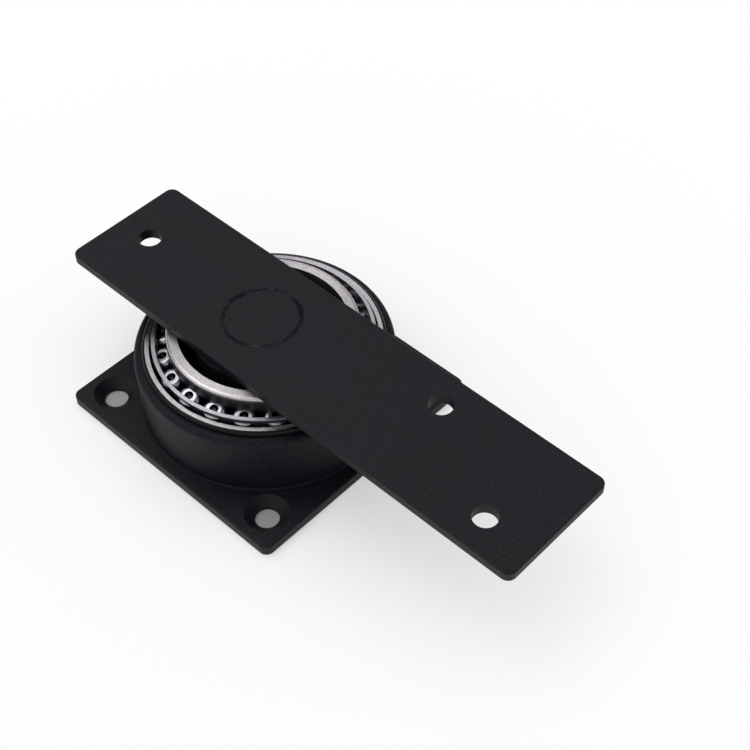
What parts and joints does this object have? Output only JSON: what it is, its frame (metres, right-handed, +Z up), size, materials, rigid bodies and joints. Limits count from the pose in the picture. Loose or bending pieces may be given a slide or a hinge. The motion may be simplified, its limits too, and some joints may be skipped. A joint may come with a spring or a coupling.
{
  "type": "floor door pivot",
  "caption": "Floor pivot for a heavy door: square base plate and round housing with a tapered roller bearing, and a long door plate that turns on it without a stop.",
  "frame": {"origin": "on the turning axis at the base plate's underside, in the middle of the four floor screws", "axes": "+X along the long arm of the door plate, +Z up along the turning axis"},
  "size_m": [0.202, 0.1, 0.0408],
  "materials": {
    "black_coat_base": "matt black powder coat",
    "black_coat_housing": "matt black powder coat on a turned ring",
    "black_coat_spindle": "matt black powder coat",
    "black_coat_plate": "matt black powder coat",
    "ground_steel": "ground bearing steel",
    "pressed_steel": "bright pressed steel",
    "polished_steel": "polished roller steel"
  },
  "bodies": {
    "base": {"base_plate": "black_coat_base", "bearing_housing": "black_coat_housing", "bearing_cup": "ground_steel"},
    "door_arm": {"door_plate": "black_coat_plate", "spindle": "black_coat_spindle", "bearing_cone": "ground_steel"},
    "cage": {"bearing_cage": "pressed_steel"},
    "roller_01": {"roller_01": "polished_steel"},
    "roller_02": {"roller_02": "polished_steel"},
    "roller_03": {"roller_03": "polished_steel"},
    "roller_04": {"roller_04": "polished_steel"},
    "roller_05": {"roller_05": "polished_steel"},
    "roller_06": {"roller_06": "polished_steel"},
    "roller_07": {"roller_07": "polished_steel"},
    "roller_08": {"roller_08": "polished_steel"},
    "roller_09": {"roller_09": "polished_steel"},
    "roller_10": {"roller_10": "polished_steel"},
    "roller_11": {"roller_11": "polished_steel"},
    "roller_12": {"roller_12": "polished_steel"},
    "roller_13": {"roller_13": "polished_steel"},
    "roller_14": {"roller_14": "polished_steel"},
    "roller_15": {"roller_15": "polished_steel"},
    "roller_16": {"roller_16": "polished_steel"},
    "roller_17": {"roller_17": "polished_steel"},
    "roller_18": {"roller_18": "polished_steel"},
    "roller_19": {"roller_19": "polished_steel"},
    "roller_20": {"roller_20": "polished_steel"},
    "roller_21": {"roller_21": "polished_steel"}
  },
  "joints": [
    {"name": "plate_swing", "type": "hinge", "parent": "base", "child": "door_arm", "pos_m": [0, 0, 0.0368], "axis": [0, 0, 1], "continuous": true},
    {"name": "cage_orbit", "type": "hinge", "parent": "base", "child": "cage", "pos_m": [0, 0, 0.0303], "axis": [0, 0, 1], "continuous": true},
    {"name": "roller_01_spin", "type": "hinge", "parent": "cage", "child": "roller_01", "pos_m": [0.03333, -0.00204, 0.02231], "axis": [0.2399, -0.0147, 0.9707], "continuous": true},
    {"name": "roller_02_spin", "type": "hinge", "parent": "cage", "child": "roller_02", "pos_m": [0.03245, 0.00788, 0.02231], "axis": [0.2335, 0.0567, 0.9707], "continuous": true},
    {"name": "roller_03_spin", "type": "hinge", "parent": "cage", "child": "roller_03", "pos_m": [0.02869, 0.01709, 0.02231], "axis": [0.2064, 0.123, 0.9707], "continuous": true},
    {"name": "roller_04_spin", "type": "hinge", "parent": "cage", "child": "roller_04", "pos_m": [0.02238, 0.02479, 0.02231], "axis": [0.161, 0.1784, 0.9707], "continuous": true},
    {"name": "roller_05_spin", "type": "hinge", "parent": "cage", "child": "roller_05", "pos_m": [0.01408, 0.03029, 0.02231], "axis": [0.1013, 0.2179, 0.9707], "continuous": true},
    {"name": "roller_06_spin", "type": "hinge", "parent": "cage", "child": "roller_06", "pos_m": [0.00452, 0.03309, 0.02231], "axis": [0.0326, 0.2381, 0.9707], "continuous": true},
    {"name": "roller_07_spin", "type": "hinge", "parent": "cage", "child": "roller_07", "pos_m": [-0.00543, 0.03295, 0.02231], "axis": [-0.0391, 0.2371, 0.9707], "continuous": true},
    {"name": "roller_08_spin", "type": "hinge", "parent": "cage", "child": "roller_08", "pos_m": [-0.0149, 0.02989, 0.02231], "axis": [-0.1072, 0.2151, 0.9707], "continuous": true},
    {"name": "roller_09_spin", "type": "hinge", "parent": "cage", "child": "roller_09", "pos_m": [-0.02305, 0.02417, 0.02231], "axis": [-0.1658, 0.1739, 0.9707], "continuous": true},
    {"name": "roller_10_spin", "type": "hinge", "parent": "cage", "child": "roller_10", "pos_m": [-0.02915, 0.0163, 0.02231], "axis": [-0.2097, 0.1173, 0.9707], "continuous": true},
    {"name": "roller_11_spin", "type": "hinge", "parent": "cage", "child": "roller_11", "pos_m": [-0.03266, 0.00698, 0.02231], "axis": [-0.235, 0.0503, 0.9707], "continuous": true},
    {"name": "roller_12_spin", "type": "hinge", "parent": "cage", "child": "roller_12", "pos_m": [-0.03327, -0.00295, 0.02231], "axis": [-0.2394, -0.0212, 0.9707], "continuous": true},
    {"name": "roller_13_spin", "type": "hinge", "parent": "cage", "child": "roller_13", "pos_m": [-0.03092, -0.01263, 0.02231], "axis": [-0.2225, -0.0909, 0.9707], "continuous": true},
    {"name": "roller_14_spin", "type": "hinge", "parent": "cage", "child": "roller_14", "pos_m": [-0.02582, -0.02118, 0.02231], "axis": [-0.1858, -0.1524, 0.9707], "continuous": true},
    {"name": "roller_15_spin", "type": "hinge", "parent": "cage", "child": "roller_15", "pos_m": [-0.01843, -0.02785, 0.02231], "axis": [-0.1326, -0.2004, 0.9707], "continuous": true},
    {"name": "roller_16_spin", "type": "hinge", "parent": "cage", "child": "roller_16", "pos_m": [-0.00941, -0.03205, 0.02231], "axis": [-0.0677, -0.2306, 0.9707], "continuous": true},
    {"name": "roller_17_spin", "type": "hinge", "parent": "cage", "child": "roller_17", "pos_m": [0.00046, -0.0334, 0.02231], "axis": [0.0033, -0.2403, 0.9707], "continuous": true},
    {"name": "roller_18_spin", "type": "hinge", "parent": "cage", "child": "roller_18", "pos_m": [0.01028, -0.03178, 0.02231], "axis": [0.074, -0.2286, 0.9707], "continuous": true},
    {"name": "roller_19_spin", "type": "hinge", "parent": "cage", "child": "roller_19", "pos_m": [0.01919, -0.02733, 0.02231], "axis": [0.1381, -0.1967, 0.9707], "continuous": true},
    {"name": "roller_20_spin", "type": "hinge", "parent": "cage", "child": "roller_20", "pos_m": [0.02639, -0.02046, 0.02231], "axis": [0.1899, -0.1472, 0.9707], "continuous": true},
    {"name": "roller_21_spin", "type": "hinge", "parent": "cage", "child": "roller_21", "pos_m": [0.03125, -0.01177, 0.02231], "axis": [0.2249, -0.0847, 0.9707], "continuous": true}
  ],
  "couplings": [
    {"joint": "cage_orbit", "follows": "plate_swing", "ratio": 0.4402},
    {"joint": "roller_01_spin", "follows": "plate_swing", "ratio": -4.0001},
    {"joint": "roller_02_spin", "follows": "plate_swing", "ratio": -4.0001},
    {"joint": "roller_03_spin", "follows": "plate_swing", "ratio": -4.0001},
    {"joint": "roller_04_spin", "follows": "plate_swing", "ratio": -4.0001},
    {"joint": "roller_05_spin", "follows": "plate_swing", "ratio": -4.0001},
    {"joint": "roller_06_spin", "follows": "plate_swing", "ratio": -4.0001},
    {"joint": "roller_07_spin", "follows": "plate_swing", "ratio": -4.0001},
    {"joint": "roller_08_spin", "follows": "plate_swing", "ratio": -4.0001},
    {"joint": "roller_09_spin", "follows": "plate_swing", "ratio": -4.0001},
    {"joint": "roller_10_spin", "follows": "plate_swing", "ratio": -4.0001},
    {"joint": "roller_11_spin", "follows": "plate_swing", "ratio": -4.0001},
    {"joint": "roller_12_spin", "follows": "plate_swing", "ratio": -4.0001},
    {"joint": "roller_13_spin", "follows": "plate_swing", "ratio": -4.0001},
    {"joint": "roller_14_spin", "follows": "plate_swing", "ratio": -4.0001},
    {"joint": "roller_15_spin", "follows": "plate_swing", "ratio": -4.0001},
    {"joint": "roller_16_spin", "follows": "plate_swing", "ratio": -4.0001},
    {"joint": "roller_17_spin", "follows": "plate_swing", "ratio": -4.0001},
    {"joint": "roller_18_spin", "follows": "plate_swing", "ratio": -4.0001},
    {"joint": "roller_19_spin", "follows": "plate_swing", "ratio": -4.0001},
    {"joint": "roller_20_spin", "follows": "plate_swing", "ratio": -4.0001},
    {"joint": "roller_21_spin", "follows": "plate_swing", "ratio": -4.0001}
  ]
}
